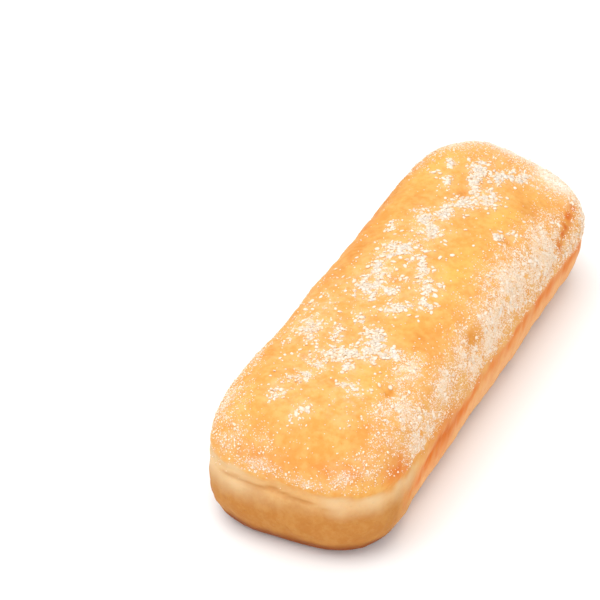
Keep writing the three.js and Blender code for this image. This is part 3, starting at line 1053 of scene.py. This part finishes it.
def uneven_tone(label):
    """Soft patches with finer mottling in them, as a mask from 0 to 1 about a middle of 0.5."""
    inputs = {"Patch Scale": 90.0, "Mottle Scale": 420.0, "Mottle Share": 0.4}
    tree, given, result = node_group(label, inputs, ("Tone", "Fine Tone"))
    patch = tree.noise(given["Position"], given["Patch Scale"], detail=2.0)
    mottle = tree.noise(given["Position"], given["Mottle Scale"], detail=3.0, roughness=0.6)
    left = tree.minus(1.0, given["Mottle Share"])
    mixed = tree.plus(tree.times(patch, left), tree.times(mottle, given["Mottle Share"]))
    tree.join(tree.ramp(mixed, low=0.38, high=0.64), result["Tone"])
    tree.join(tree.ramp(mottle, low=0.38, high=0.62), result["Fine Tone"])
    return tree.tree


def grainy_skin(label):
    """Height of a fine skin: shallow wrinkles, small grains on them, and sparse pores."""
    inputs = {
        "Wrinkle Scale": 500.0,
        "Grain Scale": 2600.0,
        "Grain Share": 0.3,
        "Pore Scale": 700.0,
        "Pore Depth": 0.6,
    }
    tree, given, result = node_group(label, inputs, ("Height",))
    wrinkle = tree.noise(given["Position"], given["Wrinkle Scale"], detail=3.0, roughness=0.55)
    grain = tree.noise(given["Position"], given["Grain Scale"], detail=2.0)
    cells = tree.add("ShaderNodeTexVoronoi")
    tree.join(given["Position"], cells.inputs["Vector"])
    tree.join(given["Pore Scale"], cells.inputs["Scale"])
    pore = tree.minus(1.0, tree.ramp(cells.outputs["Distance"], low=0.02, high=0.2))
    raised = tree.plus(wrinkle, tree.times(grain, given["Grain Share"]))
    tree.join(tree.minus(raised, tree.times(pore, given["Pore Depth"])), result["Height"])
    return tree.tree


def powder_film(label):
    """Mask of fine powder: where a speckle is below the cover, so that the film breaks up into
    grains as it thins out, plus a faint even haze. A finer speckle parts thick film from thin."""
    inputs = {
        "Cover": 0.0,
        "Speckle Scale": 1200.0,
        "Finer": 1.4,
        "Haze": 0.5,
        "Full Edge": 0.25,
        "Edge Rise": 0.5,
        "Edge Width": 0.16,
    }
    tree, given, result = node_group(label, inputs, ("Mask", "Thick"))
    speckle = tree.noise(given["Position"], given["Speckle Scale"], detail=2.0, roughness=0.6)
    lack = tree.minus(1.0, given["Cover"])
    edge = tree.plus(given["Full Edge"], tree.times(lack, given["Edge Rise"]))
    grains = tree.times(tree.ramp(speckle, edge, tree.plus(edge, given["Edge Width"])), given["Cover"])
    haze = tree.times(given["Cover"], given["Haze"])
    tree.join(tree.maths("MAXIMUM", grains, haze), result["Mask"])
    finer = tree.noise(given["Position"], tree.times(given["Speckle Scale"], given["Finer"]), detail=1.0)
    tree.join(tree.ramp(finer, low=0.4, high=0.62), result["Thick"])
    return tree.tree


def new_material(name, roughness, specular):
    """A material with its tree, its surface shader and its Object coordinates."""
    material = bpy.data.materials.new(name)
    material.use_nodes = True
    tree = Tree(material.node_tree)
    shader = material.node_tree.nodes["Principled BSDF"]
    shader.inputs["Roughness"].default_value = roughness
    shader.inputs["Specular IOR Level"].default_value = specular
    position = tree.add("ShaderNodeTexCoord").outputs["Object"]
    return material, tree, shader, position


def raise_skin(tree, shader, height, strength, depth):
    """Feeds a height to the shader's normal through a bump of the given depth in metres."""
    bump = tree.add("ShaderNodeBump")
    bump.inputs["Strength"].default_value = strength
    bump.inputs["Distance"].default_value = depth
    tree.join(height, bump.inputs["Height"])
    tree.join(bump.outputs["Normal"], shader.inputs["Normal"])


def soften(shader, share, reach, scale):
    """Lets a share of the light spread below the surface. Its reach is given for red, green and
    blue, in parts of a scale in metres."""
    shader.inputs["Subsurface Weight"].default_value = share
    shader.inputs["Subsurface Radius"].default_value = reach
    shader.inputs["Subsurface Scale"].default_value = scale


def crust_material(finish):
    """Fried dough: amber mottled with orange and streaked across the bun. Each painted layer lays
    its colour over those before it, and the film of powder comes last."""
    material, tree, shader, position = new_material("Fried crust", roughness=0.5, specular=0.03)
    scales = {"Patch_Scale": 190.0, "Mottle_Scale": 620.0, "Mottle_Share": 0.6}
    tone = tree.group(uneven_tone, Position=position, **scales)
    drawn = tree.add("ShaderNodeMapping")
    drawn.inputs["Scale"].default_value = STREAKS["stretch"]
    tree.join(position, drawn.inputs["Vector"])
    streak = tree.noise(drawn.outputs["Vector"], STREAKS["scale"], detail=3.0, roughness=0.6)
    streak = tree.times(tree.ramp(streak, *STREAKS["ramp"]), STREAKS["share"])
    golden = tree.times(tree.layer("golden"), tree.ramp(tone["Tone"], *MOTTLED["golden"]))
    scorched = tree.times(tree.layer("scorched"), tree.ramp(tone["Fine Tone"], *MOTTLED["scorched"]))
    film = tree.group(powder_film, Position=position, Cover=tree.layer("powder"))
    powder = tree.blend(film["Thick"], finish.veil, finish.powder)
    colour = tree.blend(tone["Tone"], finish.orange, finish.amber)
    for share, over in (
        (golden, finish.gold),
        (tree.maths("ADD", tree.layer("toasted"), streak, clamp=True), finish.toasted),
        (tree.layer("near_wall"), tree.blend(tone["Tone"], finish.tan_dark, finish.tan)),
        (tree.layer("long_wall"), tree.blend(tone["Tone"], finish.flank_dark, finish.flank)),
        (tree.layer("ruddy"), finish.ruddy),
        (scorched, finish.scorched),
        (tree.layer("pale"), finish.pale),
        # Painted shade in the crease of the pale band.
        (tree.times(tree.layer("crease"), CREASE_LINE["shade"]), finish.tan_dark),
        # The sole colour: partly browner crust, partly painted contact shade.
        (tree.layer("sole"), finish.sole),
        # Over the far end's patches the powder turns to the far end's pale colour, which also stands for a
        # painted highlight.
        (film["Mask"], tree.blend(tree.layer("frost_and_highlight_share"), powder, finish.frost)),
    ):
        colour = tree.blend(share, colour, over)
    tree.join(colour, shader.inputs["Base Color"])
    dull = tree.plus(DULLNESS["bare"], tree.times(film["Mask"], DULLNESS["powdered"]))
    dull = tree.plus(dull, tree.times(tone["Fine Tone"], DULLNESS["uneven"]))
    tree.join(dull, shader.inputs["Roughness"])
    soften(shader, share=0.15, reach=(1.0, 0.45, 0.2), scale=0.0016)
    skin = tree.group(grainy_skin, Position=position)
    raise_skin(tree, shader, skin["Height"], strength=0.6, depth=0.0003)
    return material


def sugar_material(name, shade, white):
    """Sugar: each crystal has its own tint between two, with soft light inside and glossy faces."""
    material, tree, shader, position = new_material(name, roughness=0.35, specular=0.5)
    tone = tree.group(uneven_tone, Position=position, Patch_Scale=500.0, Mottle_Scale=2500.0)
    tint = tree.times(tree.layer("tint"), TINT_SHARE)
    share = tree.plus(tint, tree.times(tone["Tone"], 1 - TINT_SHARE))
    tree.join(tree.blend(share, shade, white), shader.inputs["Base Color"])
    soften(shader, share=0.4, reach=(1.0, 0.9, 0.8), scale=0.0005)
    skin = tree.group(grainy_skin, Position=position, Wrinkle_Scale=2500.0, Grain_Scale=6000.0)
    raise_skin(tree, shader, skin["Height"], strength=0.2, depth=0.00006)
    return material


def floor_material(colour):
    """A plain pale floor with the faintest unevenness."""
    material, tree, shader, position = new_material("Pale floor", roughness=0.6, specular=0.2)
    tone = tree.group(uneven_tone, Position=position, Patch_Scale=6.0, Mottle_Scale=60.0)
    darker = tuple(value * FLOOR_SHADE for value in colour)
    tree.join(tree.blend(tone["Tone"], darker, colour), shader.inputs["Base Color"])
    return material


def metres(name, description, default):
    """A length, in metres."""
    return FloatProperty(name=name, description=description, default=default, min=0, unit="LENGTH")


def whole(name, description, default, least=1):
    """A whole number of rows or grains."""
    return IntProperty(name=name, description=description, default=default, min=least)


def rgb(name, description, default):
    """A colour, in linear red, green and blue."""
    return FloatVectorProperty(
        name=name, description=description, default=default, subtype="COLOR", min=0, max=1
    )


def watts(name, description, default):
    """The power of a light, in watts."""
    return FloatProperty(name=name, description=description, default=default, min=0, unit="POWER")


class BunForm(bpy.types.PropertyGroup):
    length: metres("Length", "Length of the bun", 0.150)
    width: metres("Width", "Width at the waist", 0.051)
    height: metres("Height", "Height before the top's own rolls", 0.036)
    columns: whole("Columns", "Points round the outline", 640, least=24)
    dome_rows: whole("Dome Rows", "Rows of points over the dome", 66, least=8)
    belly_rows: whole("Belly Rows", "Rows of points down the belly", 38, least=4)
    sole_rows: whole("Sole Rows", "Rows of points in under the sole", 8)


class CrustFinish(bpy.types.PropertyGroup):
    amber: rgb("Amber", "Most of the top", (0.72, 0.392, 0.118))
    orange: rgb("Orange", "Browner mottling of the top", (0.69, 0.305, 0.068))
    gold: rgb("Gold", "Yellower patches", (0.73, 0.405, 0.09))
    # The next two colours also darken the left slope, partly as browner crust and partly as painted shade.
    toasted: rgb("Toasted", "Browner streaks and pits of the top", (0.57, 0.205, 0.03))
    scorched: rgb("Scorched", "Darker patches and lines at the rim", (0.56, 0.13, 0.018))
    ruddy: rgb("Ruddy", "Line under the rim and redder patches", (0.68, 0.165, 0.016))
    tan: rgb("Tan", "Lower wall of the near end", (0.50, 0.228, 0.06))
    tan_dark: rgb("Dark Tan", "Browner mottling of that wall", (0.46, 0.185, 0.042))
    flank: rgb("Flank", "Lower wall of the long sides", (0.79, 0.42, 0.175))
    flank_dark: rgb("Dark Flank", "Redder mottling of that wall", (0.75, 0.34, 0.125))
    pale: rgb("Pale", "Band of pale dough round the near end", (0.70, 0.50, 0.28))
    # Partly the underside's browner crust, partly painted contact shade near the floor.
    sole: rgb("Sole", "Underside", (0.27, 0.075, 0.018))
    veil: rgb("Veil", "Thin film of melted sugar", (0.78, 0.55, 0.31))
    powder: rgb("Powder", "Film of powder under the fine sugar", (0.84, 0.67, 0.51))
    # The far end's thick powder colour, which also stands for the painted highlight on its rim.
    frost: rgb("Frost", "Thick powder of the far end", (0.90, 0.82, 0.71))


class SugarFinish(bpy.types.PropertyGroup):
    white: rgb("White", "Clearest lumps, and grains between them", (0.84, 0.74, 0.64))
    shade: rgb("Shade", "Lumps and grains that glow with the crust", (0.77, 0.57, 0.38))
    fine_white: rgb("Loose White", "Palest loose grains", (0.94, 0.81, 0.66))
    fine_shade: rgb("Loose Shade", "Loose grains that glow with the crust", (0.86, 0.61, 0.41))
    small_lumps: whole("Small Lumps", "Small lumps strewn about the knots", 2300)
    lump_size: metres("Small Lump", "Usual radius of a small lump", 0.00042)
    knot_grains: whole("Grains in the Knots", "Coarse grains in and about the knots", 1300)
    coarse_count: whole("Coarse Grains", "Loose coarse grains on the top", 2600)
    fine_count: whole("Fine Grains", "Fine grains in the sugared patches", 24000)
    coarse_size: metres("Coarse Size", "Usual coarse grain", 0.00042)
    fine_size: metres("Fine Size", "Usual fine grain", 0.00035)
    seed: whole("Seed", "Start of the random places", 7, least=0)


class StageSetup(bpy.types.PropertyGroup):
    floor_size: metres("Floor Size", "Side of the square floor", 6.0)
    floor_colour: rgb("Floor Colour", "Colour of the floor", (0.90, 0.90, 0.90))
    sky: FloatProperty(name="Sky", description="Strength of the even light all round", default=0.80, min=0)
    key: watts("Key Light", "Power of the soft light above", 8.9)
    fill: watts("Fill Light", "Power of the soft light at the camera's side", 2.9)


class BUN_OT_crust(bpy.types.Operator):
    """Make the crust of the bun"""
    bl_idname = "bun.crust"
    bl_label = "Crust"

    def execute(self, context):
        rows, normals = crust_grid(context.scene.bun_form)
        corners, triangles, first = closed_skin(rows)
        crust = lay_mesh("bun_crust", corners, triangles, np.ones(len(triangles), bool))
        for name, values in crust_layers(corners, normals.reshape(-1, 3)[first]).items():
            paint(crust, name, values)
        crust.data.materials.append(crust_material(context.scene.bun_crust))
        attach(crust, "root")
        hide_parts("long_bun")
        return {"FINISHED"}


class BUN_OT_clumped_sugar(bpy.types.Operator):
    """Lay lumps of sugar in knots on the top, with smaller lumps and coarse grains about them"""
    bl_idname = "bun.clumped_sugar"
    bl_label = "Clumped Sugar"

    def execute(self, context):
        finish = context.scene.bun_sugar
        rows, normals = crust_grid(context.scene.bun_form)
        rng = np.random.default_rng(finish.seed)
        clumps = clump_places()
        top_rows = context.scene.bun_form.dome_rows - CLUMP_FREE_ROWS
        dome, dome_normals = rows[:top_rows].reshape(-1, 3), normals[:top_rows].reshape(-1, 3)
        nearest = ((dome[None, :, :2] - clumps[:, None, :2]) ** 2).sum(-1).argmin(1)
        middles = np.column_stack([clumps[:, :2], dome[nearest, 2]])
        sets = [lumps(middles, dome_normals[nearest], clumps[:, 2] * CLUMP_LUMP_SHARE, rng)]
        density = knot_density(rows, normals)
        places, facing = scatter(rows, normals, density, finish.small_lumps, rng)
        radii = finish.lump_size / MM * rng.uniform(*LUMPED["sizes"], len(places))
        radii = radii * (1 - LUMPED["smaller_near"] * near_share(places))
        places = places + facing * (radii * LUMPED["lift"])[:, None]
        sets.append(lumps(places, facing, radii, rng))
        places, facing = scatter(rows, normals, density, finish.knot_grains, rng)
        sizes = finish.coarse_size / MM * rng.uniform(*GRAINS["sizes"], len(places))
        lift = (sizes * rng.uniform(*GRAINS["knot_lift"], len(places)))[:, None]
        sets.append(blocks(places + facing * lift, facing, sizes, rng))
        material = sugar_material("Clumped sugar", finish.shade, finish.white)
        sugar_mesh("sugar_clumps", sets, rng, material)
        return {"FINISHED"}


class BUN_OT_loose_sugar(bpy.types.Operator):
    """Scatter coarse and fine sugar grains over the crust"""
    bl_idname = "bun.loose_sugar"
    bl_label = "Loose Sugar"

    def execute(self, context):
        finish = context.scene.bun_sugar
        rows, normals = crust_grid(context.scene.bun_form)
        rng = np.random.default_rng(finish.seed + 1)
        material = sugar_material("Loose sugar", finish.fine_shade, finish.fine_white)
        coarse, fine = grain_densities(rows, normals)
        for name, density, count, size, shape in (
            ("sugar_coarse", coarse, finish.coarse_count, finish.coarse_size, blocks),
            ("sugar_fine", fine, finish.fine_count, finish.fine_size, flakes),
        ):
            places, facing = scatter(rows, normals, density, count, rng)
            sizes = size / MM * rng.uniform(*GRAINS["sizes"], count)
            places = places + facing * (sizes * GRAINS["lift"])[:, None]
            sugar_mesh(name, [shape(places, facing, sizes, rng)], rng, material)
        return {"FINISHED"}


def aim(made, place, target):
    """Puts an object in the scene at a place, turned so that its own -Z points at a target."""
    made.location = place
    made.rotation_euler = (Vector(target) - Vector(place)).to_track_quat("-Z", "Y").to_euler()
    bpy.context.scene.collection.objects.link(made)


def soft_light(name, light, watts):
    """A square light of its own size, aimed at the bun."""
    lamp = bpy.data.lights.new(name, "AREA")
    lamp.size = light["size"]
    lamp.energy = watts
    aim(bpy.data.objects.new(name, lamp), light["place"], (0, 0, 0))


class BUN_OT_stage(bpy.types.Operator):
    """Set the floor, the lights and the camera"""
    bl_idname = "bun.stage"
    bl_label = "Stage"

    def execute(self, context):
        scene = context.scene
        setup = scene.bun_stage
        half = setup.floor_size / MM / 2
        corners = half * np.array([(-1, -1, 0), (1, -1, 0), (1, 1, 0), (-1, 1, 0)], float)
        floor = lay_mesh("floor", corners, np.array([(0, 1, 2, 3)]), np.zeros(1, bool))
        floor.data.materials.append(floor_material(setup.floor_colour))
        soft_light("soft_key", KEY, setup.key)
        soft_light("soft_fill", FILL, setup.fill)
        world = bpy.data.worlds.new("Soft surround")
        world.use_nodes = True
        backdrop = world.node_tree.nodes["Background"]
        backdrop.inputs["Color"].default_value = (1, 1, 1, 1)
        backdrop.inputs["Strength"].default_value = setup.sky
        scene.world = world
        scene.view_settings.view_transform = "Standard"
        camera = bpy.data.cameras.new("camera")
        camera.lens = CAMERA["lens"]
        camera.sensor_width = CAMERA["sensor"]
        camera.clip_end = CAMERA["sees"]
        eye = bpy.data.objects.new("camera", camera)
        aim(eye, CAMERA["place"], CAMERA["target"])
        scene.camera = eye
        return {"FINISHED"}


class BUN_PT_panel(bpy.types.Panel):
    """Steps and settings of the bun"""
    bl_label = "Long Sugared Bun"
    bl_idname = "BUN_PT_panel"
    bl_space_type = "VIEW_3D"
    bl_region_type = "UI"
    bl_category = "Bun"

    def draw(self, context):
        for step in STEPS:
            self.layout.operator(step.bl_idname)
        for name, kind in SETTINGS.items():
            box = self.layout.box()
            for label in kind.__annotations__:
                box.prop(getattr(context.scene, name), label)


STEPS = (BUN_OT_crust, BUN_OT_clumped_sugar, BUN_OT_loose_sugar, BUN_OT_stage)
SETTINGS = {
    "bun_form": BunForm,
    "bun_crust": CrustFinish,
    "bun_sugar": SugarFinish,
    "bun_stage": StageSetup,
}


def register():
    """Adds the settings to the scene, and the operators and the panel to Blender"""
    for kind in (*SETTINGS.values(), *STEPS, BUN_PT_panel):
        bpy.utils.register_class(kind)
    for name, kind in SETTINGS.items():
        setattr(bpy.types.Scene, name, PointerProperty(type=kind))


def unregister():
    """Takes them all out again"""
    for name in SETTINGS:
        delattr(bpy.types.Scene, name)
    for kind in (BUN_PT_panel, *STEPS, *SETTINGS.values()):
        bpy.utils.unregister_class(kind)


def main():
    """Makes the bun and its stage"""
    register()
    bpy.ops.bun.crust()
    bpy.ops.bun.clumped_sugar()
    bpy.ops.bun.loose_sugar()
    bpy.ops.bun.stage()


if __name__ == "__main__":
    main()
